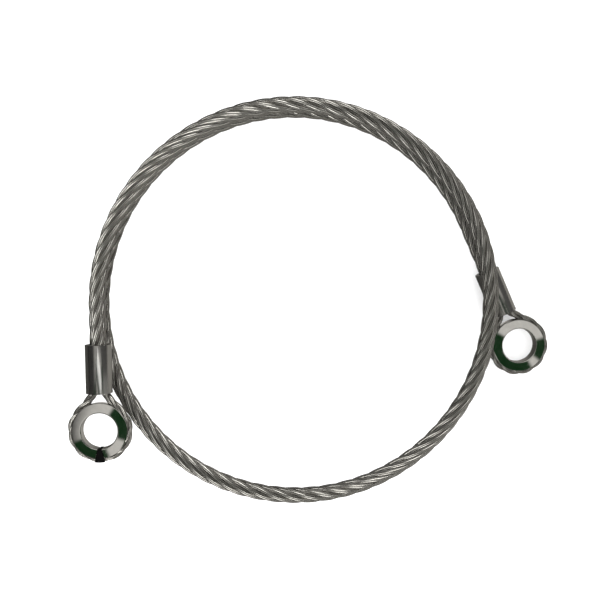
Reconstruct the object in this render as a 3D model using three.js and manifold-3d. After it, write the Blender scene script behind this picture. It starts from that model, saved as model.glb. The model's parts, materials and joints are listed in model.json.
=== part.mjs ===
// A security cable for a bicycle: a coil of steel wire rope with a small grooved thimble, held in a loop
// of finer rope and closed by a pressed ferrule, at each end. A padlock or a U-lock shackle goes through
// the two eyes.
//
// The rope lies in a flat coil about +Z. End A is on top and end B underneath. A place on the rope is
// given by its station: millimetres along the centre line from the point where the coil starts at end A.
// The rope is flexible. Here it is cut into short lengths that swing about the bends between them.
import * as THREE from "three";
import { mergeVertices } from "three/addons/utils/BufferGeometryUtils.js";
import Module from "manifold-3d";

const wasm = await Module();
wasm.setup();

const { degToRad, lerp } = THREE.MathUtils;
const UP = new THREE.Vector3(0, 0, 1);
const DOWN = new THREE.Vector3(0, 0, -1);

// ---- Driving dimensions, in millimetres unless the name says degrees ----

// Wire rope: six strands laid right-handed round a core strand.
const ROPE_DIAMETER = 8;
const ROPE_LAY = 54; // length in which a strand goes once round the rope
const STRAND_COUNT = 6;
const STRAND_RADIUS = 1.18; // a little under a sixth of the rope, so that neighbours stay clear
const CORE_RADIUS = 1.08;

// Coil: it draws in slightly towards both ends, as a springy rope does.
const COIL_RADIUS = 97.5;
const COIL_DRAW_IN = 1;
const COIL_PITCH = 12;
const COIL_START_DEGREES = 181;
const COIL_SWEEP_DEGREES = 516;
const END_A_STRAIGHT = 18; // from the end of the coil to the ferrule
const END_B_STRAIGHT = 26;

// Bends: where one length of rope swings on the next.
const COIL_SECTION_COUNT = 5;
const BEND_B_STATION_PAST_COIL = 10;
const COIL_HALF_GAP = 1.6; // rope left out on each side of a bend in the coil
const END_HALF_GAP = 2;

// Ferrule: a sleeve pressed over the rope from above and over the two legs of the eye from below.
const FERRULE_DIAMETER = 12.6;
const FERRULE_LENGTH = 23.5;
const FERRULE_CHAMFER = 0.4;
const FERRULE_ROPE_BORE = 8.4;
const FERRULE_LEG_BORE = 4.7;
const BORE_DEPTH = 11.85; // each way, so that the bores just meet
const GRIP_LENGTH = 11.2; // rope inside the ferrule, and leg inside it from the other end

// Eye: a loop of three fine strands in the groove of a thimble.
const EYE_STRAND_COUNT = 3;
const EYE_STRAND_RADIUS = 0.87;
const EYE_LAY_RADIUS = 1.12; // from the centre of the loop's rope to the centre of a strand
const EYE_LAY = 24;
const LEG_HALF_SPACING = 3;
const LEG_BEND_RADIUS = 3;
const EYE_DROP = 18.4; // from the ferrule to the centre of the thimble

// Thimble: a turned ring with a round groove in its rim.
const THIMBLE_BORE_RADIUS = 8.7;
const THIMBLE_RIM_RADIUS = 13.5;
const THIMBLE_WIDTH = 5.4;
const THIMBLE_BORE_CHAMFER = 0.4;
const LOOP_RADIUS = 13.7; // centre line of the loop's rope round the thimble
const GROOVE_RADIUS = 2.3;

// Keeper: a black wedge in the split of thimble A. Its cheeks stand up on both sides of the loop.
const KEEPER_BORE_WIDTH = 1.5;
const KEEPER_RIM_WIDTH = 5;
const KEEPER_RIM_RADIUS = 15.8;
const KEEPER_THICKNESS = 6;
const KEEPER_CHANNEL_RADIUS = 2.35;
const FIT_GAP = 0.3;

// Fineness of the faceted surfaces.
const STRAND_SIDES = 5;
const STEPS_PER_LAY = 7;
const EYE_STEPS_PER_LAY = 8;
const CORE_STEP = 8;
const ROUND_SEGMENTS = 32;
const GROOVE_SEGMENTS = 8;

// ---- Sizes worked out from them ----

const STRAND_LAY_RADIUS = ROPE_DIAMETER / 3;
const STATION_RADIUS = Math.hypot(COIL_RADIUS, COIL_PITCH / (2 * Math.PI));
const COIL_LENGTH = degToRad(COIL_SWEEP_DEGREES) * STATION_RADIUS;
const COIL_HEIGHT = (COIL_PITCH * COIL_SWEEP_DEGREES) / 360;
const BEND_B_STATION = COIL_LENGTH + BEND_B_STATION_PAST_COIL;

// ---- Materials ----

const materials = {
  strand: steel("strand", 0x8a877e, 0.38),
  core: steel("core", 0x6d6a63, 0.5),
  ferrule: steel("ferrule", 0xa3a298, 0.3),
  thimble: steel("thimble", 0xb9b9b1, 0.12),
  eye_strand: steel("eye_strand", 0x8f8c83, 0.36),
  keeper: new THREE.MeshStandardMaterial({
    name: "keeper",
    color: 0x0b0b0c,
    roughness: 0.55,
    metalness: 0,
  }),
};

function steel(name, color, roughness) {
  return new THREE.MeshStandardMaterial({ name, color, roughness, metalness: 1 });
}

// ---- Joining and cutting ----

// A closed geometry as a solid that can be cut.
function toSolid(geometry) {
  const bare = geometry.clone();
  bare.deleteAttribute("normal");
  bare.deleteAttribute("uv");
  const merged = mergeVertices(bare, 1e-4);
  return new wasm.Manifold(
    new wasm.Mesh({
      numProp: 3,
      vertProperties: merged.attributes.position.array,
      triVerts: new Uint32Array(merged.index.array),
    }),
  );
}

function toGeometry(solid) {
  const mesh = solid.getMesh();
  const geometry = new THREE.BufferGeometry();
  geometry.setAttribute("position", new THREE.BufferAttribute(mesh.vertProperties, 3));
  geometry.setIndex(new THREE.BufferAttribute(mesh.triVerts, 1));
  geometry.computeVertexNormals();
  return geometry;
}

// A geometry with others cut out of it.
function cut(geometry, ...tools) {
  const solid = tools.reduce((left, tool) => left.subtract(toSolid(tool)), toSolid(geometry));
  return toGeometry(solid);
}

// ---- The rope's centre line ----

// A point of the coil, for a station between 0 and the coil's length.
function coilPoint(station) {
  const angle = degToRad(COIL_START_DEGREES) - station / STATION_RADIUS;
  const share = station / COIL_LENGTH - 0.5;
  const radius = COIL_RADIUS - COIL_DRAW_IN * (2 * share) ** 2;
  return new THREE.Vector3(
    radius * Math.cos(angle),
    radius * Math.sin(angle),
    -COIL_HEIGHT * share,
  );
}

// The rope's direction there, from end A towards end B.
function coilDirection(station) {
  const angle = degToRad(COIL_START_DEGREES) - station / STATION_RADIUS;
  const share = station / COIL_LENGTH - 0.5;
  const radius = COIL_RADIUS - COIL_DRAW_IN * (2 * share) ** 2;
  const angleRate = -1 / STATION_RADIUS;
  const radiusRate = (-8 * COIL_DRAW_IN * share) / COIL_LENGTH;
  return new THREE.Vector3(
    radiusRate * Math.cos(angle) - radius * angleRate * Math.sin(angle),
    radiusRate * Math.sin(angle) + radius * angleRate * Math.cos(angle),
    -COIL_HEIGHT / COIL_LENGTH,
  ).normalize();
}

// Past either end of the coil the rope runs on straight.
function ropeFrame(station) {
  const onCoil = THREE.MathUtils.clamp(station, 0, COIL_LENGTH);
  const along = coilDirection(onCoil);
  const outward = new THREE.Vector3().crossVectors(UP, along).normalize();
  return {
    point: coilPoint(onCoil).addScaledVector(along, station - onCoil),
    along,
    outward,
    upward: new THREE.Vector3().crossVectors(along, outward),
  };
}

// The centre line of one strand, which winds round the centre line of its rope.
class StrandLine extends THREE.Curve {
  constructor(frameAt, from, to, { radius, lay, phase }) {
    super();
    Object.assign(this, { frameAt, from, to, radius, lay, phase });
  }

  getPoint(t, target = new THREE.Vector3()) {
    const station = lerp(this.from, this.to, t);
    const frame = this.frameAt(station);
    const turn = this.phase + (2 * Math.PI * station) / this.lay;
    return target
      .copy(frame.point)
      .addScaledVector(frame.outward, this.radius * Math.cos(turn))
      .addScaledVector(frame.upward, this.radius * Math.sin(turn));
  }
}

function polygon(radius, sides) {
  const corners = Array.from({ length: sides }, (_, i) => {
    const angle = (2 * Math.PI * i) / sides;
    return new THREE.Vector2(radius * Math.cos(angle), radius * Math.sin(angle));
  });
  return new THREE.Shape(corners);
}

function wire(line, radius, steps) {
  return new THREE.ExtrudeGeometry(polygon(radius, STRAND_SIDES), {
    steps,
    extrudePath: line,
    bevelEnabled: false,
  });
}

// ---- Assembly ----

const assembly = new THREE.Group();

// A rigid body of the assembly: a group whose origin is the bend that it swings about.
function addBody(parent, pivot) {
  const body = new THREE.Group();
  body.position.copy(pivot).sub(parent.userData.pivot ?? new THREE.Vector3());
  body.userData.pivot = pivot.clone();
  parent.add(body);
  return body;
}

function addPiece(parent, name, geometry, material) {
  const mesh = new THREE.Mesh(geometry, material);
  mesh.name = name;
  parent.add(mesh);
  return mesh;
}

// A length of rope, as its core and six strands, between two stations.
function addRope(body, name, from, to) {
  const { x, y, z } = body.userData.pivot;
  const place = (geometry) => geometry.translate(-x, -y, -z);
  const core = new StrandLine(ropeFrame, from, to, { radius: 0, lay: ROPE_LAY, phase: 0 });
  const coreSteps = Math.ceil((to - from) / CORE_STEP);
  addPiece(body, `${name}_core`, place(wire(core, CORE_RADIUS, coreSteps)), materials.core);
  const steps = Math.ceil((STEPS_PER_LAY * (to - from)) / ROPE_LAY);
  for (let i = 0; i < STRAND_COUNT; i++) {
    const phase = (2 * Math.PI * i) / STRAND_COUNT;
    const line = new StrandLine(ropeFrame, from, to, {
      radius: STRAND_LAY_RADIUS,
      lay: ROPE_LAY,
      phase,
    });
    const geometry = place(wire(line, STRAND_RADIUS, steps));
    addPiece(body, `${name}_strand_${i + 1}`, geometry, materials.strand);
  }
}

// ---- The eye, in its own frame: the ferrule's open end is at the origin, the rope leaves along +Y,
// the thimble lies along -Y, and Z is the thimble's axis ----

function ferruleGeometry() {
  const r = FERRULE_DIAMETER / 2;
  const body = new THREE.LatheGeometry(
    [
      new THREE.Vector2(0, 0),
      new THREE.Vector2(r - FERRULE_CHAMFER, 0),
      new THREE.Vector2(r, FERRULE_CHAMFER),
      new THREE.Vector2(r, FERRULE_LENGTH - FERRULE_CHAMFER),
      new THREE.Vector2(r - FERRULE_CHAMFER, FERRULE_LENGTH),
      new THREE.Vector2(0, FERRULE_LENGTH),
    ],
    ROUND_SEGMENTS,
  );
  const overrun = 1;
  const depth = BORE_DEPTH + overrun;
  const bore = (diameter, x, y) =>
    new THREE.CylinderGeometry(diameter / 2, diameter / 2, depth, ROUND_SEGMENTS).translate(x, y, 0);
  const upper = FERRULE_LENGTH + overrun - depth / 2;
  const lower = depth / 2 - overrun;
  return cut(
    body,
    bore(FERRULE_ROPE_BORE, 0, upper),
    bore(FERRULE_LEG_BORE, -LEG_HALF_SPACING, lower),
    bore(FERRULE_LEG_BORE, LEG_HALF_SPACING, lower),
  );
}

function thimbleGeometry() {
  const half = THIMBLE_WIDTH / 2;
  const groove = Math.acos((LOOP_RADIUS - THIMBLE_RIM_RADIUS) / GROOVE_RADIUS);
  const profile = [
    new THREE.Vector2(THIMBLE_BORE_RADIUS, -half + THIMBLE_BORE_CHAMFER),
    new THREE.Vector2(THIMBLE_BORE_RADIUS + THIMBLE_BORE_CHAMFER, -half),
    new THREE.Vector2(THIMBLE_RIM_RADIUS, -half),
  ];
  for (let i = 0; i <= GROOVE_SEGMENTS; i++) {
    const angle = lerp(-groove, groove, i / GROOVE_SEGMENTS);
    profile.push(
      new THREE.Vector2(
        LOOP_RADIUS - GROOVE_RADIUS * Math.cos(angle),
        GROOVE_RADIUS * Math.sin(angle),
      ),
    );
  }
  profile.push(
    new THREE.Vector2(THIMBLE_RIM_RADIUS, half),
    new THREE.Vector2(THIMBLE_BORE_RADIUS + THIMBLE_BORE_CHAMFER, half),
    new THREE.Vector2(THIMBLE_BORE_RADIUS, half - THIMBLE_BORE_CHAMFER),
    profile[0].clone(),
  );
  return new THREE.LatheGeometry(profile, ROUND_SEGMENTS)
    .rotateX(Math.PI / 2)
    .translate(0, -EYE_DROP, 0);
}

// A wedge across the thimble at its crown, wider by `margin` on each flank.
function crownWedge(innerRadius, outerRadius, thickness, margin) {
  const slope = (KEEPER_RIM_WIDTH - KEEPER_BORE_WIDTH) / (KEEPER_RIM_RADIUS - THIMBLE_BORE_RADIUS);
  const halfWidth = (radius) =>
    (KEEPER_BORE_WIDTH + slope * (radius - THIMBLE_BORE_RADIUS)) / 2 + margin;
  const outline = new THREE.Shape([
    new THREE.Vector2(-halfWidth(innerRadius), -EYE_DROP - innerRadius),
    new THREE.Vector2(-halfWidth(outerRadius), -EYE_DROP - outerRadius),
    new THREE.Vector2(halfWidth(outerRadius), -EYE_DROP - outerRadius),
    new THREE.Vector2(halfWidth(innerRadius), -EYE_DROP - innerRadius),
  ]);
  return new THREE.ExtrudeGeometry(outline, { depth: thickness, bevelEnabled: false }).translate(
    0,
    0,
    -thickness / 2,
  );
}

function splitThimbleGeometry() {
  const overrun = 1;
  const split = crownWedge(
    THIMBLE_BORE_RADIUS - overrun,
    THIMBLE_RIM_RADIUS + overrun,
    THIMBLE_WIDTH + 2 * overrun,
    FIT_GAP,
  );
  return cut(thimbleGeometry(), split);
}

function keeperGeometry() {
  const body = crownWedge(THIMBLE_BORE_RADIUS, KEEPER_RIM_RADIUS, KEEPER_THICKNESS, 0);
  const length = 2 * KEEPER_RIM_WIDTH;
  const seat = new THREE.CylinderGeometry(
    KEEPER_CHANNEL_RADIUS,
    KEEPER_CHANNEL_RADIUS,
    length,
    ROUND_SEGMENTS,
  )
    .rotateZ(Math.PI / 2)
    .translate(0, -EYE_DROP - LOOP_RADIUS, 0);
  const mouthHeight = KEEPER_RIM_RADIUS;
  const mouth = new THREE.BoxGeometry(length, mouthHeight, 2 * KEEPER_CHANNEL_RADIUS).translate(
    0,
    -EYE_DROP - LOOP_RADIUS - mouthHeight / 2,
    0,
  );
  return cut(body, seat, mouth);
}

// The loop's centre line: down one leg, out round a small bend, straight to the thimble, round it, and
// back up the other leg in mirror image. The crossed tangent of the bend and the thimble gives the angle.
const bendCentreX = LEG_HALF_SPACING + LEG_BEND_RADIUS;
const centreDistance = Math.hypot(bendCentreX, EYE_DROP);
const reach = LEG_BEND_RADIUS + LOOP_RADIUS;
const SPREAD = Math.asin(reach / centreDistance) - Math.atan(bendCentreX / EYE_DROP);
const BEND_LENGTH = LEG_BEND_RADIUS * SPREAD;
const FLANK_LENGTH = Math.sqrt(centreDistance ** 2 - reach ** 2);
const HALF_WRAP = Math.PI / 2 + SPREAD;
const HALF_LOOP = BEND_LENGTH + FLANK_LENGTH + LOOP_RADIUS * HALF_WRAP;

// Station 0 is the crown. The left side is worked out, and the right side is its mirror image.
function loopFrame(station) {
  const side = station < 0 ? -1 : 1;
  const fromFerrule = HALF_LOOP - Math.abs(station);
  let x;
  let y;
  let heading; // angle of the left leg's direction, from -Y towards -X
  if (fromFerrule <= 0) {
    heading = 0;
    x = -LEG_HALF_SPACING;
    y = -fromFerrule;
  } else if (fromFerrule <= BEND_LENGTH) {
    heading = fromFerrule / LEG_BEND_RADIUS;
    x = -bendCentreX + LEG_BEND_RADIUS * Math.cos(heading);
    y = -LEG_BEND_RADIUS * Math.sin(heading);
  } else if (fromFerrule <= BEND_LENGTH + FLANK_LENGTH) {
    const run = fromFerrule - BEND_LENGTH;
    heading = SPREAD;
    x = -bendCentreX + LEG_BEND_RADIUS * Math.cos(SPREAD) - run * Math.sin(SPREAD);
    y = -LEG_BEND_RADIUS * Math.sin(SPREAD) - run * Math.cos(SPREAD);
  } else {
    const wrap = Math.abs(station) / LOOP_RADIUS;
    heading = wrap - Math.PI / 2;
    x = -LOOP_RADIUS * Math.sin(wrap);
    y = -EYE_DROP - LOOP_RADIUS * Math.cos(wrap);
  }
  // On the left side the station falls along the leg, and on the right side it rises back up.
  return {
    point: new THREE.Vector3(-side * x, y, 0),
    outward: new THREE.Vector3(side * Math.cos(heading), Math.sin(heading), 0),
    upward: DOWN, // which makes the fine rope right-handed too
  };
}

function addEye(body, name, station, ropeDirection, split) {
  const place = new THREE.Group();
  const { point } = ropeFrame(station);
  const y = ropeDirection.clone();
  const x = new THREE.Vector3().crossVectors(y, UP).normalize();
  const z = new THREE.Vector3().crossVectors(x, y);
  place.position.copy(point).sub(body.userData.pivot);
  place.quaternion.setFromRotationMatrix(new THREE.Matrix4().makeBasis(x, y, z));
  body.add(place);

  addPiece(place, `ferrule_${name}`, ferruleGeometry(), materials.ferrule);
  const thimble = split ? splitThimbleGeometry() : thimbleGeometry();
  addPiece(place, `thimble_${name}`, thimble, materials.thimble);
  if (split) addPiece(place, `keeper_wedge_${name}`, keeperGeometry(), materials.keeper);

  const reachUp = HALF_LOOP + GRIP_LENGTH;
  const steps = Math.ceil((EYE_STEPS_PER_LAY * 2 * reachUp) / EYE_LAY);
  for (let i = 0; i < EYE_STRAND_COUNT; i++) {
    const phase = (2 * Math.PI * i) / EYE_STRAND_COUNT;
    const line = new StrandLine(loopFrame, -reachUp, reachUp, {
      radius: EYE_LAY_RADIUS,
      lay: EYE_LAY,
      phase,
    });
    const geometry = wire(line, EYE_STRAND_RADIUS, steps);
    addPiece(place, `eye_${name}_strand_${i + 1}`, geometry, materials.eye_strand);
  }
}

// ---- The rope's lengths, from the fixed one in the middle out to both eyes ----

const bends = Array.from({ length: COIL_SECTION_COUNT + 1 }, (_, i) =>
  lerp(0, BEND_B_STATION, i / COIL_SECTION_COUNT),
);
const last = COIL_SECTION_COUNT;
const middle = (COIL_SECTION_COUNT - 1) / 2;
const bendPoint = (i) => ropeFrame(bends[i]).point;
const gapAt = (i) => (i === 0 || i === last ? END_HALF_GAP : COIL_HALF_GAP);

// Section i lies between bend i and bend i + 1.
function addCoilSection(parent, i, pivot) {
  const body = addBody(parent, pivot);
  addRope(body, `coil_${i + 1}`, bends[i] + gapAt(i), bends[i + 1] - gapAt(i + 1));
  return body;
}

const centreBody = addCoilSection(assembly, middle, new THREE.Vector3());
let bodyA = centreBody;
let bodyB = centreBody;
for (let step = 1; step <= middle; step++) {
  bodyA = addCoilSection(bodyA, middle - step, bendPoint(middle - step + 1));
  bodyB = addCoilSection(bodyB, middle + step, bendPoint(middle + step));
}

const endA = addBody(bodyA, bendPoint(0));
const ferruleTopA = -END_A_STRAIGHT;
addRope(endA, "end_a", ferruleTopA - GRIP_LENGTH, -END_HALF_GAP);
addEye(endA, "a", ferruleTopA - FERRULE_LENGTH, coilDirection(0), true);

const endB = addBody(bodyB, bendPoint(last));
const ferruleTopB = COIL_LENGTH + END_B_STRAIGHT;
addRope(endB, "end_b", BEND_B_STATION + END_HALF_GAP, ferruleTopB + GRIP_LENGTH);
addEye(endB, "b", ferruleTopB + FERRULE_LENGTH, coilDirection(COIL_LENGTH).negate(), false);

// The origin is under the middle of the object, in the plane that it lies on.
const bounds = new THREE.Box3().setFromObject(assembly, true);
const centre = bounds.getCenter(new THREE.Vector3());
assembly.position.set(-centre.x, -centre.y, -bounds.min.z);

const cable = new THREE.Group();
cable.add(assembly);

export default cable;
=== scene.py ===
"""Looks for a coiled wire-rope security cable with a pressed ferrule and a thimble eye on each end.

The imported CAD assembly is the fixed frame. The rope and the loops round the thimbles are drawn wire by
wire, the ferrules, thimbles and keeper get their pressed, turned and moulded edges, and each finish is a
node material. Lengths are in metres.
"""

import json
import math
from dataclasses import dataclass
from typing import Callable

import bmesh
import bpy
import numpy as np
from mathutils import Matrix, Vector

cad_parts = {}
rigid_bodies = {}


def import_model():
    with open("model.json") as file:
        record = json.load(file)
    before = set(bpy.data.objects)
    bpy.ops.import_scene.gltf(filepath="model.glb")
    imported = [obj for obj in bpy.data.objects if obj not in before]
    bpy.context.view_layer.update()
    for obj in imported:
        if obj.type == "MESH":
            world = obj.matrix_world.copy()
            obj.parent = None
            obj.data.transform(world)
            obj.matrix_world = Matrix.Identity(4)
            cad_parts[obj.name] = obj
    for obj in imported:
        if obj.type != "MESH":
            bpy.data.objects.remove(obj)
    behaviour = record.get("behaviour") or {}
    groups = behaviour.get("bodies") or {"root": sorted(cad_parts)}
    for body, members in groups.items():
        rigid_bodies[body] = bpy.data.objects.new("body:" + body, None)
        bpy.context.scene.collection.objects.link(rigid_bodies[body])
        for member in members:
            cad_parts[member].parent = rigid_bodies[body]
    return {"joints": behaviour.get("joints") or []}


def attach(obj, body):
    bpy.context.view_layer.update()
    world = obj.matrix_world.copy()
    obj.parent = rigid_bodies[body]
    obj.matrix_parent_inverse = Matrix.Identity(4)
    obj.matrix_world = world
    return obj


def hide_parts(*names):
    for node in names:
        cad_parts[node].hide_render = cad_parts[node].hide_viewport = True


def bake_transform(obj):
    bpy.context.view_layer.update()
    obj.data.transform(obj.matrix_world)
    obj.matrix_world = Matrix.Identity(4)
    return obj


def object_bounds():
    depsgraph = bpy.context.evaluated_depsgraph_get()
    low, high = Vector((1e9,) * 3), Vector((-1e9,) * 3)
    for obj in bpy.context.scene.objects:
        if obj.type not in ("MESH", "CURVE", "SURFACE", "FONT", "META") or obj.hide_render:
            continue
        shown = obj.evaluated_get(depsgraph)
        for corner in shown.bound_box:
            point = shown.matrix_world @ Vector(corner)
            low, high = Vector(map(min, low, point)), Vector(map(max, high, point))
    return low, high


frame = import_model()
CAD_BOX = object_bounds()

MM = 0.001
UP = np.array([0.0, 0.0, 1.0])

# Rope: six strands round a core strand, each strand six wires round a king wire.
ROPE_RADIUS = 4 * MM
ROPE_LAY = 54 * MM  # length in which a strand goes once round the rope
STRAND_COUNT = 6
STRAND_RADIUS = ROPE_RADIUS / 3
STRAND_LAY_RADIUS = ROPE_RADIUS - STRAND_RADIUS
OUTER_WIRE_COUNT = 6
WIRE_SHARE = 0.41  # of the strand's radius: the wires are pressed together, and flat on the strand's outside
WIRE_LAY_RADIUS_SHARE = 0.645
WIRE_LAY_SHARE = -1.0  # of the rope's lay: inside their strand the wires turn the other way
WIRE_SIDES = 12
RING_ANGLES = 2 * math.pi * np.arange(WIRE_SIDES) / WIRE_SIDES
ROPE_STEP = 1.6 * MM

# Coil
COIL_RADIUS = 97.5 * MM
COIL_DRAW_IN = 1 * MM  # the coil's ends lie this much nearer to its axis than its middle
COIL_PITCH = 12 * MM
COIL_START = math.radians(181)
COIL_SWEEP = math.radians(516)
END_A_STRAIGHT = 18 * MM  # from the end of the coil to the ferrule
END_B_STRAIGHT = 26 * MM
BEND_B_PAST_COIL = 10 * MM

# Ferrule
FERRULE_RADIUS = 6.3 * MM
FERRULE_LENGTH = 23.5 * MM
FERRULE_ROPE_BORE = 4.2 * MM
FERRULE_LEG_BORE = 2.35 * MM
FERRULE_BORE_DEPTH = 11.85 * MM
FERRULE_EDGE = 0.3 * MM
GRIP_LENGTH = 11.2 * MM
FERRULE_SEGMENTS = 96
BORE_SEGMENTS = 56

# Eye: a loop of three-strand rope round the thimble
EYE_STRAND_COUNT = 3
EYE_LAY = 24 * MM
EYE_LAY_RADIUS = 1.12 * MM
EYE_STRAND_RADIUS = 0.95 * MM
EYE_STEP = 1.1 * MM
LEG_HALF_SPACING = 3 * MM
LEG_BEND_RADIUS = 3 * MM
EYE_DROP = 18.4 * MM  # from the ferrule to the centre of the thimble
LOOP_RADIUS = 13.7 * MM

# Thimble and keeper
THIMBLE_BORE_RADIUS = 8.7 * MM
THIMBLE_RIM_RADIUS = 13.5 * MM
THIMBLE_WIDTH = 5.4 * MM
THIMBLE_GROOVE_RADIUS = 2.14 * MM
THIMBLE_BORE_FILLET = 0.45 * MM
THIMBLE_BORE_TILT = math.radians(3)  # how far the faces fall away from flat at the bore, and at the rim
THIMBLE_RIM_TILT = math.radians(8)
THIMBLE_LIP = 0.1 * MM  # what the rounded lip takes off the face's width
THIMBLE_SEGMENTS = 224
THIMBLE_FACE_STEPS = 8
FILLET_STEPS = 6
LIP_STEPS = 4
GROOVE_STEPS = 12
KEEPER_BORE_WIDTH = 1.5 * MM
KEEPER_RIM_WIDTH = 5 * MM
KEEPER_RIM_RADIUS = 15.3 * MM
KEEPER_THICKNESS = 6 * MM
KEEPER_CHANNEL_RADIUS = 2.35 * MM
KEEPER_EDGE = 0.12 * MM
KEEPER_STEPS = 8
CHANNEL_STEPS = 20
FIT_GAP = 0.3 * MM

STATION_RADIUS = math.hypot(COIL_RADIUS, COIL_PITCH / (2 * math.pi))
COIL_LENGTH = COIL_SWEEP * STATION_RADIUS
COIL_HEIGHT = COIL_PITCH * COIL_SWEEP / (2 * math.pi)

# The bodies in their order along the rope, with a bend between each two.
BODIES = ["end_a", "coil_1", "coil_2", "coil_3", "coil_4", "coil_5", "end_b"]
BEND_COUNT = len(BODIES) - 1
BENDS = np.linspace(0, COIL_LENGTH + BEND_B_PAST_COIL, BEND_COUNT)


# ---------------------------------------------------------------- paths

def unit(vectors):
    return vectors / np.linalg.norm(vectors, axis=-1, keepdims=True)


def column(values):
    return np.asarray(values)[..., None]


def coil_point(station):
    """Centre of the coiled rope, station metres along it, about the coil's own middle."""
    angle = COIL_START - station / STATION_RADIUS
    share = station / COIL_LENGTH - 0.5
    radius = COIL_RADIUS - COIL_DRAW_IN * (2 * share) ** 2
    return np.stack([radius * np.cos(angle), radius * np.sin(angle), -COIL_HEIGHT * share], axis=-1)


def coil_direction(station):
    angle = COIL_START - station / STATION_RADIUS
    share = station / COIL_LENGTH - 0.5
    radius = COIL_RADIUS - COIL_DRAW_IN * (2 * share) ** 2
    angle_rate = -1 / STATION_RADIUS
    radius_rate = -8 * COIL_DRAW_IN * share / COIL_LENGTH
    return unit(
        np.stack(
            [
                radius_rate * np.cos(angle) - radius * angle_rate * np.sin(angle),
                radius_rate * np.sin(angle) + radius * angle_rate * np.cos(angle),
                np.full_like(angle, -COIL_HEIGHT / COIL_LENGTH),
            ],
            axis=-1,
        )
    )


def bend_pivot(bend):
    """Where the joint between two neighbouring bodies of the rope lies, in the frame."""
    pair = {BODIES[bend], BODIES[bend + 1]}
    joint = next(j for j in frame["joints"] if {j["parent"], j["child"]} == pair)
    return np.array(joint["pos_m"])


MIDDLE_BEND = BEND_COUNT // 2
COIL_MIDDLE = bend_pivot(MIDDLE_BEND) - coil_point(BENDS[MIDDLE_BEND])


def rope_frames(station):
    """The rope's centre line, its direction and two directions across it; past the coil it is straight."""
    on_coil = np.clip(station, 0, COIL_LENGTH)
    along = coil_direction(on_coil)
    point = COIL_MIDDLE + coil_point(on_coil) + along * column(station - on_coil)
    outward = unit(np.cross(UP, along))
    return point, along, outward, np.cross(along, outward)


# The loop leaves the ferrule as two legs. Each bends outwards, runs straight and then follows the thimble.
BEND_CENTRE_X = LEG_HALF_SPACING + LEG_BEND_RADIUS
CENTRE_DISTANCE = math.hypot(BEND_CENTRE_X, EYE_DROP)
REACH = LEG_BEND_RADIUS + LOOP_RADIUS
SPREAD = math.asin(REACH / CENTRE_DISTANCE) - math.atan(BEND_CENTRE_X / EYE_DROP)
LEG_BEND_LENGTH = LEG_BEND_RADIUS * SPREAD
FLANK_LENGTH = math.sqrt(CENTRE_DISTANCE**2 - REACH**2)
HALF_WRAP = math.pi / 2 + SPREAD
HALF_LOOP = LEG_BEND_LENGTH + FLANK_LENGTH + LOOP_RADIUS * HALF_WRAP


def loop_half_point(from_ferrule):
    """(x, y, heading) of one half of the loop, from_ferrule metres along it from the ferrule's mouth."""
    if from_ferrule <= 0:
        return -LEG_HALF_SPACING, -from_ferrule, 0.0
    if from_ferrule <= LEG_BEND_LENGTH:
        heading = from_ferrule / LEG_BEND_RADIUS
        x = -BEND_CENTRE_X + LEG_BEND_RADIUS * math.cos(heading)
        return x, -LEG_BEND_RADIUS * math.sin(heading), heading
    run = from_ferrule - LEG_BEND_LENGTH
    if run <= FLANK_LENGTH:
        x = -BEND_CENTRE_X + LEG_BEND_RADIUS * math.cos(SPREAD) - run * math.sin(SPREAD)
        y = -LEG_BEND_RADIUS * math.sin(SPREAD) - run * math.cos(SPREAD)
        return x, y, SPREAD
    wrap = (HALF_LOOP - from_ferrule) / LOOP_RADIUS
    return -LOOP_RADIUS * math.sin(wrap), -EYE_DROP - LOOP_RADIUS * math.cos(wrap), wrap - math.pi / 2


def loop_frames(station):
    """As rope_frames, for the loop in the eye's own plane: station 0 is the crown of the loop."""
    point, outward = [], []
    for s in station:
        side = -1 if s < 0 else 1
        x, y, heading = loop_half_point(HALF_LOOP - abs(s))
        point.append((-side * x, y, 0))
        outward.append((side * math.cos(heading), math.sin(heading), 0))
    point, outward = np.array(point), np.array(outward)
    downward = np.broadcast_to(-UP, point.shape)
    return point, np.cross(outward, downward), outward, downward


def eye_matrix(end):
    """The eye's own axes: origin at the ferrule's mouth, +Y towards the rope, +Z the thimble's axis."""
    if end == "a":
        mouth, towards_rope = -(END_A_STRAIGHT + FERRULE_LENGTH), 1
    else:
        mouth, towards_rope = COIL_LENGTH + END_B_STRAIGHT + FERRULE_LENGTH, -1
    point, along, _, _ = rope_frames(np.array([mouth]))
    y = towards_rope * along[0]
    x = unit(np.cross(y, UP))
    matrix = np.identity(4)
    matrix[:3, :4] = np.stack([x, y, np.cross(x, y), point[0]], axis=-1)
    return Matrix(matrix.tolist())


# ---------------------------------------------------------------- meshes

def new_object(name, mesh):
    piece = bpy.data.objects.new(name, mesh)
    bpy.context.scene.collection.objects.link(piece)
    return piece


def shade(mesh, sharp_degrees):
    """Smooth shading that breaks at edges sharper than the angle."""
    mesh.polygons.foreach_set("use_smooth", [True] * len(mesh.polygons))
    mesh.set_sharp_from_angle(angle=math.radians(sharp_degrees))


@dataclass
class Rope:
    """How a rope is laid. Its path gives a centre line and its directions for an array of stations."""

    path: Callable
    radius: float
    strand_radius: float
    lay: float
    step: float  # between two rings of points


def around(line, normal, binormal, turn, radius):
    """A line that winds round another, with its own tangent and the direction away from the other."""
    radial = column(np.cos(turn)) * normal + column(np.sin(turn)) * binormal
    wound = line + radius * radial
    tangent = unit(np.gradient(wound, axis=0))
    return wound, tangent, unit(radial - tangent * column((radial * tangent).sum(axis=1)))


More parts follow.
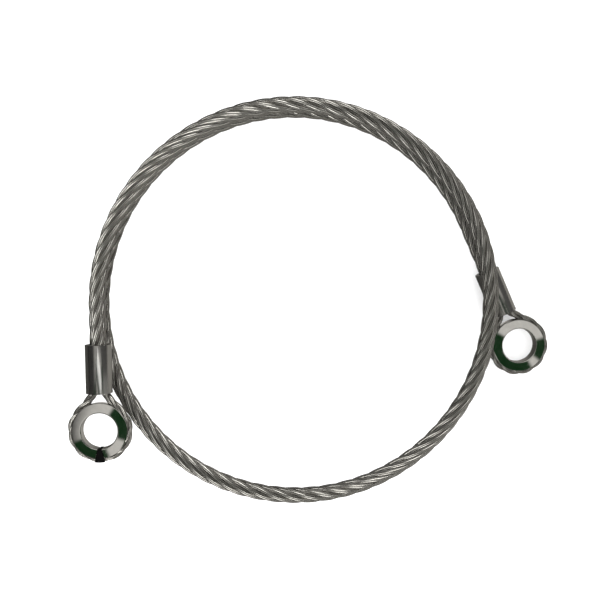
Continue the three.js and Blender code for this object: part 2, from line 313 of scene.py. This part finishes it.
def strand_frames(rope, start, end, lay_radius, phase):
    """Centre line of a strand with its frames, one step longer at each end than the piece."""
    count = math.ceil((end - start) / rope.step) + 1
    step = (end - start) / (count - 1)
    station = start + step * np.arange(-1, count + 1)
    centre, _, outward, upward = rope.path(station)
    turn = phase + 2 * math.pi * station / rope.lay
    line, tangent, normal = around(centre, outward, upward, turn, lay_radius)
    return station, centre, line, normal, np.cross(tangent, normal)


def wire_rings(line, normal, binormal, turn, wire_lay_radius, strand_radius):
    """Rings of points round one wire, pressed flat where they would pass the strand's outside."""
    wire, tangent, side = around(line, normal, binormal, turn, wire_lay_radius)
    across = np.cross(tangent, side)
    ring = side[:, None] * column(np.cos(RING_ANGLES)) + across[:, None] * column(np.sin(RING_ANGLES))
    offset = wire[:, None] + WIRE_SHARE * strand_radius * ring - line[:, None]
    reach = np.linalg.norm(offset, axis=-1, keepdims=True)
    return line[:, None] + offset * np.minimum(1, strand_radius / reach)


def tube_faces(rings, first):
    """Quads of one tube and a face over each end, for vertices numbered from first, ring by ring."""
    faces = []
    for i in range(rings - 1):
        a = first + i * WIRE_SIDES
        for j in range(WIRE_SIDES):
            k = (j + 1) % WIRE_SIDES
            faces.append((a + j, a + k, a + WIRE_SIDES + k, a + WIRE_SIDES + j))
    faces.append(tuple(first + j for j in reversed(range(WIRE_SIDES))))
    last = first + (rings - 1) * WIRE_SIDES
    faces.append(tuple(last + j for j in range(WIRE_SIDES)))
    return faces


def add_attribute(mesh, name, kind, values):
    attribute = mesh.attributes.new(name, kind, "POINT")
    key = "vector" if kind == "FLOAT_VECTOR" else "value"
    attribute.data.foreach_set(key, np.asarray(values, np.float32).ravel())


def strand_mesh(name, rope, start, end, lay_radius, phase):
    """A strand of seven wires with the attributes its material reads.

    "grain" runs along each wire and carries the drawn marks. "depth" is 1 at the rope's outside, and
    "crest" is 1 at the strand's outside.
    """
    station, centre, line, normal, binormal = strand_frames(rope, start, end, lay_radius, phase)
    wire_radius = WIRE_SHARE * rope.strand_radius
    wire_angles = 2 * math.pi * np.arange(OUTER_WIRE_COUNT) / OUTER_WIRE_COUNT
    wires = [(WIRE_LAY_RADIUS_SHARE * rope.strand_radius, angle) for angle in wire_angles] + [(0.0, 0.0)]
    points, grain, depth, crest, faces = [], [], [], [], []
    rings = len(station) - 2
    for index, (wire_lay_radius, angle) in enumerate(wires):
        turn = angle + 2 * math.pi * station / (rope.lay * WIRE_LAY_SHARE)
        tube = wire_rings(line, normal, binormal, turn, wire_lay_radius, rope.strand_radius)[1:-1]
        faces += tube_faces(rings, len(points) * rings * WIRE_SIDES)
        points.append(tube)
        wire_offset = (index + 1) * wire_radius * 11  # so that no two wires share their marks
        grain.append(
            np.stack(
                np.broadcast_arrays(
                    column(station[1:-1]),
                    wire_offset + wire_radius * np.cos(RING_ANGLES),
                    wire_offset + wire_radius * np.sin(RING_ANGLES),
                ),
                axis=-1,
            )
        )
        depth.append(np.linalg.norm(tube - centre[1:-1, None], axis=-1) / rope.radius)
        crest.append(np.linalg.norm(tube - line[1:-1, None], axis=-1) / rope.strand_radius)
    mesh = bpy.data.meshes.new(name)
    mesh.from_pydata(np.concatenate([p.reshape(-1, 3) for p in points]), [], faces)
    add_attribute(mesh, "grain", "FLOAT_VECTOR", grain)
    add_attribute(mesh, "depth", "FLOAT", depth)
    add_attribute(mesh, "crest", "FLOAT", crest)
    shade(mesh, 60)
    return mesh


def arc(centre, radius, start_degrees, end_degrees, steps):
    angles = np.radians(np.linspace(start_degrees, end_degrees, steps + 1))
    return [(centre[0] + radius * math.cos(a), centre[1] + radius * math.sin(a)) for a in angles]


def keeper_half_width(radius, gap=0.0):
    """Half the width of the wedge between the thimble's cut ends, radius metres from the thimble's axis."""
    share = (radius - THIMBLE_BORE_RADIUS) / (KEEPER_RIM_RADIUS - THIMBLE_BORE_RADIUS)
    return (KEEPER_BORE_WIDTH + share * (KEEPER_RIM_WIDTH - KEEPER_BORE_WIDTH)) / 2 + gap


def section_mesh(name, sections, closed):
    """A skin over matching cross-sections; an open row of them gets a face at each end."""
    count, size, _ = sections.shape
    faces = []
    for i in range(count if closed else count - 1):
        a, b = i * size, (i + 1) % count * size
        for j in range(size):
            k = (j + 1) % size
            faces.append((a + j, b + j, b + k, a + k))
    if not closed:
        faces.append(tuple(range(size)))
        faces.append(tuple((count - 1) * size + j for j in reversed(range(size))))
    mesh = bpy.data.meshes.new(name)
    mesh.from_pydata(sections.reshape(-1, 3), [], faces)
    outward = bmesh.new()
    outward.from_mesh(mesh)
    bmesh.ops.recalc_face_normals(outward, faces=outward.faces)
    outward.to_mesh(mesh)
    outward.free()
    return mesh


def thimble_profile():
    """Cross-section of the thimble as (radius, height) points: bore, face, lip, groove and back."""
    half = THIMBLE_WIDTH / 2
    fillet = THIMBLE_BORE_FILLET
    fillet_end = 90 - math.degrees(THIMBLE_BORE_TILT)
    upper = arc((THIMBLE_BORE_RADIUS + fillet, half - fillet), fillet, 180, fillet_end, FILLET_STEPS)
    radius, height = upper[-1]
    run = (THIMBLE_RIM_RADIUS - THIMBLE_LIP - radius) / THIMBLE_FACE_STEPS
    for i in range(THIMBLE_FACE_STEPS):
        share = (i + 0.5) / THIMBLE_FACE_STEPS
        tilt = THIMBLE_BORE_TILT + (THIMBLE_RIM_TILT - THIMBLE_BORE_TILT) * share
        radius += run
        height -= run * math.tan(tilt)
        upper.append((radius, height))
    # The lip rounds over into the groove, whose centre is the loop's centre line.
    groove_top = math.degrees(math.acos((THIMBLE_RIM_RADIUS - LOOP_RADIUS) / THIMBLE_GROOVE_RADIUS))
    lip_top = height
    lip_bottom = THIMBLE_GROOVE_RADIUS * math.sin(math.radians(groove_top))
    lip = (lip_top - lip_bottom) / 2
    upper += arc((radius, lip_top - lip), lip, 60, -60, LIP_STEPS)
    upper += arc((LOOP_RADIUS, 0), THIMBLE_GROOVE_RADIUS, groove_top, 180, GROOVE_STEPS)
    lower = [(r, -z) for r, z in reversed(upper[:-1])]
    return np.array(upper + lower)


def keeper_profile():
    """Cross-section of the keeper as (radius, height) points, with the loop's channel open outwards."""
    half = KEEPER_THICKNESS / 2
    channel = KEEPER_CHANNEL_RADIUS
    upper = [(THIMBLE_BORE_RADIUS, half), (KEEPER_RIM_RADIUS, half), (KEEPER_RIM_RADIUS, channel)]
    lower = [(r, -z) for r, z in reversed(upper)]
    return np.array(upper + arc((LOOP_RADIUS, 0), channel, 90, 270, CHANNEL_STEPS) + lower)


def ring_sections(profile, angles_for):
    """The profile's points at the angles that angles_for(radius) gives, counted from the crown of the eye."""
    radius, height = profile.T
    angles = np.stack([angles_for(r) for r in radius], axis=1)
    x = radius * np.sin(angles)
    y = -EYE_DROP - radius * np.cos(angles)
    return np.stack(np.broadcast_arrays(x, y, height), axis=-1)


def thimble_mesh(name, split):
    def angles_for(radius):
        if not split:
            return 2 * math.pi * np.arange(THIMBLE_SEGMENTS) / THIMBLE_SEGMENTS
        edge = math.asin(keeper_half_width(radius, FIT_GAP) / radius)
        return np.linspace(edge, 2 * math.pi - edge, THIMBLE_SEGMENTS)

    mesh = section_mesh(name, ring_sections(thimble_profile(), angles_for), closed=not split)
    shade(mesh, 32)
    return mesh


def keeper_mesh(name):
    def angles_for(radius):
        return np.arcsin(np.linspace(-1, 1, KEEPER_STEPS + 1) * keeper_half_width(radius) / radius)

    return section_mesh(name, ring_sections(keeper_profile(), angles_for), closed=False)


def cylinder_mesh(radius, bottom, top, segments, x=0.0):
    """A closed cylinder along Y between two heights."""
    angle = 2 * math.pi * np.arange(segments) / segments
    ring = np.stack([x + radius * np.cos(angle), np.zeros(segments), radius * np.sin(angle)], axis=-1)
    return section_mesh("cylinder", np.stack([ring + (0, bottom, 0), ring + (0, top, 0)]), closed=False)


def with_modifier(mesh, kind, settings):
    """The mesh that a modifier makes of this one."""
    carrier = new_object("carrier", mesh)
    modifier = carrier.modifiers.new(kind, kind)
    for key, value in settings.items():
        setattr(modifier, key, value)
    evaluated = carrier.evaluated_get(bpy.context.evaluated_depsgraph_get())
    result = bpy.data.meshes.new_from_object(evaluated)
    result.name = mesh.name
    bpy.data.objects.remove(carrier)
    return result


def bevelled(mesh, width, degrees, segments=3):
    settings = {"width": width, "segments": segments, "limit_method": "ANGLE",
                "angle_limit": math.radians(degrees)}
    return with_modifier(mesh, "BEVEL", settings)


def ferrule_mesh(name):
    """The sleeve along +Y from its mouth: one bore for the rope, two for the legs of the loop."""
    over = 1 * MM
    rope_bore_floor = FERRULE_LENGTH - FERRULE_BORE_DEPTH
    cutters = [cylinder_mesh(FERRULE_ROPE_BORE, rope_bore_floor, FERRULE_LENGTH + over, BORE_SEGMENTS)]
    for side in (-1, 1):
        x = side * LEG_HALF_SPACING
        cutters.append(cylinder_mesh(FERRULE_LEG_BORE, -over, FERRULE_BORE_DEPTH, BORE_SEGMENTS, x))
    sleeve = cylinder_mesh(FERRULE_RADIUS, 0, FERRULE_LENGTH, FERRULE_SEGMENTS)
    sleeve.name = name
    for cutter in cutters:
        tool = new_object("cutter", cutter)
        settings = {"operation": "DIFFERENCE", "object": tool, "solver": "EXACT"}
        sleeve = with_modifier(sleeve, "BOOLEAN", settings)
        bpy.data.objects.remove(tool)
    sleeve = bevelled(sleeve, FERRULE_EDGE, 60)
    shade(sleeve, 50)
    return sleeve


# ---------------------------------------------------------------- materials

class Nodes:
    """Short calls that add nodes to a tree; an argument is a value or another node's output."""

    def __init__(self, tree):
        self.tree = tree
        tree.nodes.clear()

    def add(self, kind, inputs=None, **settings):
        node = self.tree.nodes.new("ShaderNode" + kind)
        for key, value in settings.items():
            setattr(node, key, value)
        for key, value in (inputs or {}).items():
            if isinstance(value, bpy.types.NodeSocket):
                self.tree.links.new(value, node.inputs[key])
            else:
                node.inputs[key].default_value = value
        return node

    def math(self, operation, a, b=0.0):
        return self.add("Math", {0: a, 1: b}, operation=operation).outputs[0]

    def vector(self, operation, a, b=(0, 0, 0), output="Vector"):
        return self.add("VectorMath", {0: a, 1: b}, operation=operation).outputs[output]

    def noise(self, coordinates, scale, detail=4.0, roughness=0.5, distortion=0.0):
        inputs = {"Vector": coordinates, "Scale": scale, "Detail": detail, "Roughness": roughness,
                  "Distortion": distortion}
        return self.add("TexNoise", inputs).outputs["Fac"]

    def scaled(self, coordinates, factors):
        return self.vector("MULTIPLY", coordinates, factors)

    def remap(self, value, low, high, to_low=0.0, to_high=1.0, smooth=False):
        kind = "SMOOTHSTEP" if smooth else "LINEAR"
        inputs = {"Value": value, "From Min": low, "From Max": high, "To Min": to_low, "To Max": to_high}
        return self.add("MapRange", inputs, interpolation_type=kind).outputs["Result"]

    def mix(self, share, a, b, blend="MIX"):
        node = self.add("Mix", data_type="RGBA", blend_type=blend)
        for key, value in ((0, share), (6, a), (7, b)):
            if isinstance(value, bpy.types.NodeSocket):
                self.tree.links.new(value, node.inputs[key])
            else:
                node.inputs[key].default_value = value
        return node.outputs[2]

    def bump(self, height, distance, strength=1.0, normal=None):
        inputs = {"Height": height, "Distance": distance, "Strength": strength}
        if normal is not None:
            inputs["Normal"] = normal
        return self.add("Bump", inputs).outputs["Normal"]

    def surface(self, **inputs):
        names = {"colour": "Base Color", "roughness": "Roughness", "metallic": "Metallic", "normal": "Normal",
                 "specular": "Specular IOR Level"}
        shader = self.add("BsdfPrincipled", {names[key]: value for key, value in inputs.items()})
        self.add("OutputMaterial", {"Surface": shader.outputs[0]})


def new_material(name):
    material = bpy.data.materials.new(name)
    material.use_nodes = True
    return material, Nodes(material.node_tree)


def grey(value, warmth=0.0):
    """A linear colour close to grey; warmth takes a share off the blue."""
    return (value, value * (1 - warmth * 0.3), value * (1 - warmth), 1.0)


# The noise scales below are in cells for each metre; for a wire the first is along it.

def wire_material(name, bright, dull, shade_and_grime_from, shade_and_grime_to):
    """Drawn steel wire: fine marks along it, long dull stretches, and painted shade mixed with oily grime,
    near black, deep in the rope and between the wires.
    """
    material, n = new_material(name)
    grain = n.add("Attribute", attribute_name="grain").outputs["Vector"]
    depth = n.add("Attribute", attribute_name="depth").outputs["Fac"]
    crest = n.add("Attribute", attribute_name="crest").outputs["Fac"]
    drawn = n.noise(n.scaled(grain, (60, 9000, 9000)), 1.0, detail=3.0, roughness=0.6)
    patches = n.noise(n.scaled(grain, (40, 700, 700)), 1.0, detail=3.0, roughness=0.6)
    grit = n.noise(n.scaled(grain, (500, 3800, 3800)), 1.0, detail=3.0)
    colour = n.mix(n.remap(patches, 0.35, 0.7), dull, bright)
    colour = n.mix(n.remap(drawn, 0.35, 0.75, 0.0, 0.35), colour, grey(0.2, 0.1))
    uneven = n.remap(grit, 0.2, 0.8, -0.04, 0.04)
    # Painted shade with grime: deep in the rope and in the grooves between the wires, where shade falls, the
    # colour goes near black and dull.
    deep_grime_and_shade = n.remap(n.math("ADD", depth, uneven), shade_and_grime_to, shade_and_grime_from, smooth=True)
    between = n.remap(crest, 0.985, 0.87, to_high=0.9, smooth=True)
    grime_and_painted_shade = n.math("MAXIMUM", deep_grime_and_shade, between)
    colour = n.mix(grime_and_painted_shade, colour, grey(0.02, 0.3))
    roughness = n.math("ADD", n.remap(patches, 0.3, 0.7, 0.22, 0.14), n.math("MULTIPLY", grime_and_painted_shade, 0.3))
    metallic = n.remap(grime_and_painted_shade, 0.0, 1.0, 1.0, 0.35)
    normal = n.bump(drawn, 0.001 * MM)
    n.surface(colour=colour, roughness=roughness, metallic=metallic, normal=normal)
    return material


def ferrule_material(name, end):
    """Pressed sleeve: satin steel with lengthwise die marks, small scratches and handled patches."""
    material, n = new_material(name)
    position = n.add("TexCoord", object=EYE_AXES[end]).outputs["Object"]
    die_marks = n.noise(n.scaled(position, (2600, 40, 2600)), 1.0, detail=3.0, roughness=0.65)
    handled = n.noise(n.scaled(position, (160, 90, 160)), 1.0, detail=5.0, roughness=0.6)
    scratches = n.noise(n.scaled(position, (700, 5200, 700)), 1.0, detail=2.0, distortion=0.6)
    scratch_lines = n.remap(scratches, 0.66, 0.72, smooth=True)
    colour = n.mix(n.remap(handled, 0.35, 0.7), grey(0.38, 0.06), grey(0.44, 0.06))
    colour = n.mix(n.math("MULTIPLY", scratch_lines, 0.3), colour, grey(0.55, 0.04))
    roughness = n.remap(handled, 0.3, 0.7, 0.22, 0.16)
    normal = n.bump(die_marks, 0.0008 * MM)
    normal = n.bump(scratch_lines, 0.0015 * MM, 0.6, normal)
    n.surface(colour=colour, roughness=roughness, metallic=1.0, normal=normal)
    return material


def thimble_material(name, end):
    """Turned and polished ring: tool marks, hairline scratches, finger smears, and darker and rougher in the
    groove.
    """
    material, n = new_material(name)
    position = n.add("TexCoord", object=EYE_AXES[end]).outputs["Object"]
    centred = n.vector("ADD", position, (0, EYE_DROP, 0))
    split = n.add("SeparateXYZ", {0: centred})
    radius = n.vector("LENGTH", n.scaled(centred, (1, 1, 0)), output="Value")
    rings = n.add("CombineXYZ", {0: radius, 2: split.outputs[2]}).outputs[0]
    turned = n.noise(rings, 9000, detail=2.0, roughness=0.7)
    smears = n.noise(centred, 260, detail=4.0, roughness=0.6, distortion=0.4)
    hairlines = n.noise(n.scaled(centred, (900, 5200, 900)), 1.0, detail=2.0, distortion=1.2)
    hairline = n.remap(hairlines, 0.68, 0.72, smooth=True)
    half_width, groove_floor = THIMBLE_WIDTH / 2, LOOP_RADIUS - THIMBLE_GROOVE_RADIUS
    between_lips = n.remap(n.math("ABSOLUTE", split.outputs[2]), half_width * 0.8, half_width * 0.67)
    in_groove = n.math("MULTIPLY", between_lips, n.remap(radius, groove_floor * 0.95, groove_floor))
    colour = n.mix(n.remap(smears, 0.35, 0.7), grey(0.8, 0.05), grey(0.88, 0.05))
    # Darker and rougher in the groove that the loop lies in.
    colour = n.mix(n.math("MULTIPLY", in_groove, 0.75), colour, grey(0.05, 0.2))
    roughness = n.math("ADD", n.remap(smears, 0.3, 0.75, 0.03, 0.07), n.math("MULTIPLY", in_groove, 0.3))
    roughness = n.math("ADD", roughness, n.math("MULTIPLY", hairline, 0.1))
    normal = n.bump(turned, 0.0002 * MM)
    normal = n.bump(hairline, 0.0006 * MM, 0.5, normal)
    n.surface(colour=colour, roughness=roughness, metallic=1.0, normal=normal)
    return material


def keeper_material():
    """Black moulded plastic with a fine spark-eroded grain and a few rubbed places."""
    material, n = new_material("keeper_black")
    position = n.add("TexCoord").outputs["Object"]
    grain = n.noise(position, 5200, detail=3.0)
    rubbed = n.noise(position, 420, detail=4.0)
    colour = n.mix(n.remap(rubbed, 0.5, 0.8), grey(0.0012), grey(0.003))
    roughness = n.remap(rubbed, 0.35, 0.7, 0.75, 0.55)
    normal = n.bump(grain, 0.01 * MM)
    n.surface(colour=colour, roughness=roughness, metallic=0.0, normal=normal, specular=0.08)
    return material


# ---------------------------------------------------------------- the object

def dress(piece, slot, material):
    piece.data.materials.clear()
    piece.data.materials.append(material)


def build_rope():
    """One length of rope for each bend, cut halfway to its neighbours."""
    rope = Rope(rope_frames, ROPE_RADIUS, STRAND_RADIUS, ROPE_LAY, ROPE_STEP)
    steel = wire_material("rope_wire", grey(0.42, 0.1), grey(0.34, 0.12), 0.5, 0.74)
    oily = wire_material("core_wire", grey(0.3, 0.15), grey(0.2, 0.2), 0.4, 0.6)
    middles = (BENDS[:-1] + BENDS[1:]) / 2
    start_of_rope = -(END_A_STRAIGHT + GRIP_LENGTH)
    end_of_rope = COIL_LENGTH + END_B_STRAIGHT + GRIP_LENGTH
    cuts = [start_of_rope, *middles, end_of_rope]
    strands = [(f"strand_{i + 1}", STRAND_LAY_RADIUS, 2 * math.pi * i / STRAND_COUNT, "strand", steel)
               for i in range(STRAND_COUNT)]
    strands.append(("core", 0.0, 0.0, "core", oily))
    for bend in range(BEND_COUNT):
        bodies = BODIES[bend], BODIES[bend + 1]
        _, along, _, _ = rope_frames(BENDS[bend : bend + 1])
        pivot, along = bend_pivot(bend), along[0]
        for strand, lay_radius, phase, slot, material in strands:
            name = f"rope_{bend + 1}_{strand}"
            piece = new_object(name, strand_mesh(name, rope, cuts[bend], cuts[bend + 1], lay_radius, phase))
            dress(piece, slot, material)
            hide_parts(*(f"{body}_{strand}" for body in bodies))
            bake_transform(piece)


def build_eye(end):
    body = f"end_{end}"
    place = EYE_AXES[end].matrix_world

    def add(name, mesh, slot, material, *nodes):
        piece = new_object(name, mesh)
        mesh.transform(place)
        dress(piece, slot, material)
        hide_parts(*nodes)
        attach(piece, body)

    loop = Rope(loop_frames, EYE_LAY_RADIUS + EYE_STRAND_RADIUS, EYE_STRAND_RADIUS, EYE_LAY, EYE_STEP)
    steel = wire_material(f"loop_wire_{end}", grey(0.44, 0.1), grey(0.36, 0.12), 0.35, 0.7)
    reach = HALF_LOOP + GRIP_LENGTH
    for i in range(EYE_STRAND_COUNT):
        name = f"eye_{end}_loop_strand_{i + 1}"
        phase = 2 * math.pi * i / EYE_STRAND_COUNT
        mesh = strand_mesh(name, loop, -reach, reach, EYE_LAY_RADIUS, phase)
        add(name, mesh, "eye_strand", steel, f"eye_{end}_strand_{i + 1}")

    name = f"ferrule_{end}_sleeve"
    add(name, ferrule_mesh(name), "ferrule", ferrule_material(name, end), f"ferrule_{end}")

    name = f"thimble_{end}_ring"
    add(name, thimble_mesh(name, split=end == "a"), "thimble", thimble_material(name, end), f"thimble_{end}")

    if end == "a":
        mesh = bevelled(keeper_mesh("keeper_a_wedge"), KEEPER_EDGE, 40, 2)
        shade(mesh, 50)
        add("keeper_a_wedge", mesh, "keeper", keeper_material(), "keeper_wedge_a")


def add_eye_axes(end):
    """An empty that carries an eye's own axes, for the materials' coordinates; it rides with the eye."""
    axes = bpy.data.objects.new(f"eye_{end}_axes", None)
    bpy.context.scene.collection.objects.link(axes)
    axes.matrix_world = eye_matrix(end)
    bpy.context.view_layer.update()
    return axes


EYE_AXES = {end: add_eye_axes(end) for end in "ab"}
build_rope()
for end in "ab":
    build_eye(end)
for end in "ab":
    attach(EYE_AXES[end], f"end_{end}")


# ---------------------------------------------------------------- stage, light and camera

CAMERA_PLACE = COIL_MIDDLE + np.array([-9.1, 24.6, 354.5]) * MM
CAMERA_AIM = COIL_MIDDLE + np.array([3.8, 0.2, 0.0]) * MM
CAMERA_ROLL = math.radians(0.6)
CAMERA_FIELD = math.radians(46.3)
CAMERA_CLIP = 10 * MM

FLOOR_SIZE = 6.0
FLOOR_GAP = 0.2 * MM
FLOOR_TONE = 0.93
FLOOR_TONES_IN_METAL = (0.22, 0.05)  # seen from the metal looking east, and looking west
FLOOR_TURN = (-0.5, 0.5)
DOME_STRENGTH = 2.2

# The room that only the metal mirrors. A place in it is a direction: x is east, y is north, z is up.
# An edge is a pair: where one tone starts to give way to the next, and where it has fully done so.
ROOM_WEST = 0.03
ROOM_EAST = 0.36
ROOM_NORTH_EAST = 0.09
WEST_TO_EAST = (-0.15, 0.15)
EAST_TO_NORTH_EAST = (-0.25, -0.1)

PANEL = 0.55  # a pale panel overhead
PANEL_WEST_EDGE = (-0.6, -0.2)
PANEL_EAST_EDGE = (0.2, 0.12)
PANEL_RISE = (0.6, 0.75)
PANEL_OVER_B = (0.35, 0.3)  # the part of it that eye B's face mirrors, from that part's centre

# Dark shapes of the room mirrored in the eyes: (eye, bearing and width round the eye in degrees).
DARK_SHAPES = [("a", 19, 82), ("a", 248, 87), ("b", 226, 152), ("b", -8, 54)]
DARK_SHAPE_REACH = (0.45, 0.35)
DARK_SHAPE_EDGE = math.radians(6)
DARK_SHAPE_RISE = (0.5, 0.6)
DARK_GREEN = (0.006, 0.026, 0.008, 1.0)
SIDE_OF_A_TO_B = (0.02, 0.06)

# Lights that show as highlights: four softboxes in the wires and a strip in ferrule A.
SOFTBOX_WIDTH = 0.4
SOFTBOX_HEIGHT = 0.7
SOFTBOX_DISTANCE = 1.2
SOFTBOX_ELEVATION = math.radians(45)
# Azimuth in degrees and radiance
SOFTBOXES = {"east": (0, 1.5), "north": (90, 4.4), "west": (180, 4.1), "south": (270, 4.7)}
STRIP_WIDTH = 0.36
STRIP_LENGTH = 0.8
STRIP_PLACE = Vector((0.24, -0.2, 1.15))  # from the middle of the coil
STRIP_RADIANCE = 1.1
WATTS_PER_RADIANCE = 4  # for each square metre of an area light

# A flag takes part of the softboxes' light off one side of the coil.
FLAG_AZIMUTH = math.radians(15)
FLAG_EDGE = (40 * MM, 90 * MM)  # from the middle of the coil
FLAG_PASSES = 0.35


def add_floor():
    """Pale and near white to the eye, but darker in the metal, so that the rope's flanks stay readable."""
    place = (0, 0, CAD_BOX[0].z - FLOOR_GAP)
    bpy.ops.mesh.primitive_grid_add(size=FLOOR_SIZE, x_subdivisions=4, y_subdivisions=4, location=place)
    floor = bpy.context.object
    floor.name = "floor"
    material, n = new_material("floor_pale")
    across = n.add("SeparateXYZ", {0: n.add("NewGeometry").outputs["Incoming"]}).outputs[0]
    east, west = (grey(tone, 0.1) for tone in FLOOR_TONES_IN_METAL)
    in_metal = n.mix(n.remap(across, *FLOOR_TURN, smooth=True), east, west)
    mirrored = n.add("LightPath").outputs["Is Glossy Ray"]
    colour = n.mix(mirrored, grey(FLOOR_TONE), in_metal)
    n.surface(colour=colour, roughness=1.0, metallic=0.0, specular=0.0)
    floor.data.materials.append(material)


def mirrored_centre(end):
    """The direction in the room that the middle of an eye's face mirrors to the camera."""
    matrix = np.array(EYE_AXES[end].matrix_world)
    eye = matrix[:3, 3] - EYE_DROP * matrix[:3, 1]
    view = unit(eye - CAMERA_PLACE)
    return view - 2 * (view @ matrix[:3, 2]) * matrix[:3, 2]


def dark_shape(n, direction, end, bearing, width):
    """1 inside a sector of the room that covers this part of an eye's face, else 0, with a soft edge."""
    offset = n.scaled(n.vector("SUBTRACT", direction, Vector(mirrored_centre(end))), (1, 1, 0))
    reach = n.vector("LENGTH", offset, output="Value")
    turn, half = math.radians(bearing), math.radians(width / 2)
    towards = (math.cos(turn), math.sin(turn), 0)
    facing = n.vector("DOT_PRODUCT", n.vector("NORMALIZE", offset), towards, output="Value")
    low, high = math.cos(half + DARK_SHAPE_EDGE), math.cos(half - DARK_SHAPE_EDGE)
    in_sector = n.remap(facing, low, high, smooth=True)
    near = n.remap(reach, *DARK_SHAPE_REACH, smooth=True)
    return n.math("MULTIPLY", in_sector, near)


def pale_panel(n, direction, across, height):
    """1 where the pale panel hangs; in the east only the part that eye B's face mirrors is left of it."""
    west_edge = n.remap(across, *PANEL_WEST_EDGE, smooth=True)
    east_edge = n.remap(across, *PANEL_EAST_EDGE, smooth=True)
    offset = n.scaled(n.vector("SUBTRACT", direction, Vector(mirrored_centre("b"))), (1, 1, 0))
    reach = n.vector("LENGTH", offset, output="Value")
    over_b = n.remap(reach, *PANEL_OVER_B, smooth=True)
    flat = n.math("MULTIPLY", west_edge, n.math("MAXIMUM", east_edge, over_b))
    return n.math("MULTIPLY", flat, n.remap(height, *PANEL_RISE, smooth=True))


def add_world():
    """A white dome for the floor, and a dimmer room with soft dark shapes for the metal to mirror."""
    world = bpy.data.worlds.new("studio")
    bpy.context.scene.world = world
    world.use_nodes = True
    n = Nodes(world.node_tree)
    direction = n.add("TexCoord").outputs["Generated"]
    across, away, height = n.add("SeparateXYZ", {0: direction}).outputs
    northward = n.remap(away, *EAST_TO_NORTH_EAST, smooth=True)
    east = n.mix(northward, grey(ROOM_EAST, 0.06), grey(ROOM_NORTH_EAST, 0.06))
    room = n.mix(n.remap(across, *WEST_TO_EAST, smooth=True), grey(ROOM_WEST, 0.1), east)
    room = n.mix(pale_panel(n, direction, across, height), room, grey(PANEL, 0.06))

    def cover(end):
        shapes = [dark_shape(n, direction, *shape) for shape in DARK_SHAPES if shape[0] == end]
        return n.math("MAXIMUM", *shapes)

    # Each eye's shapes keep to its own side of the room.
    side_of_b = n.remap(across, *SIDE_OF_A_TO_B)
    cover_a = n.math("MULTIPLY", cover("a"), n.math("SUBTRACT", 1.0, side_of_b))
    cover_b = n.math("MULTIPLY", cover("b"), side_of_b)
    covered = n.math("MULTIPLY", n.math("ADD", cover_a, cover_b), n.remap(height, *DARK_SHAPE_RISE))
    room = n.mix(covered, room, DARK_GREEN)
    mirrored = n.add("LightPath").outputs["Is Glossy Ray"]
    background = n.add("Background", {"Color": n.mix(mirrored, grey(DOME_STRENGTH), room), "Strength": 1.0})
    n.add("OutputWorld", {"Surface": background.outputs[0]})


def add_light(name, place, width, height, radiance, only_on):
    """A soft rectangle of light that faces the coil and shows as a highlight in the pieces named."""
    light = bpy.data.lights.new(name, "AREA")
    light.shape = "RECTANGLE"
    light.size = width
    light.size_y = height
    light.energy = radiance * WATTS_PER_RADIANCE * width * height
    lamp = bpy.data.objects.new(name, light)
    bpy.context.scene.collection.objects.link(lamp)
    lamp.location = Vector(COIL_MIDDLE) + place
    lamp.rotation_euler = place.to_track_quat("Z", "Y").to_euler()
    lamp.visible_diffuse = False
    lamp.visible_camera = False
    receivers = bpy.data.collections.new(name + "_receivers")
    for piece in bpy.data.objects:
        if any(part in piece.name for part in only_on):
            receivers.objects.link(piece)
    lamp.light_linking.receiver_collection = receivers
    return light


def flag(light):
    """Shades one side of the coil from a light, as a card held into its beam would."""
    light.use_nodes = True
    n = Nodes(light.node_tree)
    source = n.add("NewGeometry")
    distance = n.add("LightPath").outputs["Ray Length"]
    ray = n.add("VectorMath", {0: source.outputs["Incoming"], "Scale": distance}, operation="SCALE")
    lit_place = n.vector("ADD", source.outputs["Position"], ray.outputs[0])
    from_middle = n.vector("SUBTRACT", lit_place, Vector(COIL_MIDDLE))
    towards = (math.cos(FLAG_AZIMUTH), math.sin(FLAG_AZIMUTH), 0)
    reach = n.vector("DOT_PRODUCT", from_middle, towards, output="Value")
    strength = n.remap(reach, *FLAG_EDGE, 1.0, FLAG_PASSES)
    emission = n.add("Emission", {"Strength": strength})
    n.add("OutputLight", {"Surface": emission.outputs[0]})


def add_lights():
    flat, rise = math.cos(SOFTBOX_ELEVATION), math.sin(SOFTBOX_ELEVATION)
    for name, (azimuth_degrees, radiance) in SOFTBOXES.items():
        turn = math.radians(azimuth_degrees)
        place = SOFTBOX_DISTANCE * Vector((flat * math.cos(turn), flat * math.sin(turn), rise))
        flag(add_light(name, place, SOFTBOX_WIDTH, SOFTBOX_HEIGHT, radiance, ("strand", "core")))
    add_light("strip", STRIP_PLACE, STRIP_WIDTH, STRIP_LENGTH, STRIP_RADIANCE, ("ferrule_a",))


def add_camera():
    camera = bpy.data.objects.new("camera", bpy.data.cameras.new("camera"))
    bpy.context.scene.collection.objects.link(camera)
    back = unit(CAMERA_PLACE - CAMERA_AIM)
    right = unit(np.cross((0, 1, 0), back))
    axes = Matrix(np.stack([right, np.cross(back, right), back], axis=-1).tolist())
    camera.location = CAMERA_PLACE
    camera.rotation_euler = (axes @ Matrix.Rotation(CAMERA_ROLL, 3, "Z")).to_euler()
    camera.data.angle = CAMERA_FIELD
    camera.data.clip_start = CAMERA_CLIP
    bpy.context.scene.camera = camera


add_floor()
add_world()
add_lights()
add_camera()
bpy.context.scene.view_settings.view_transform = "Standard"
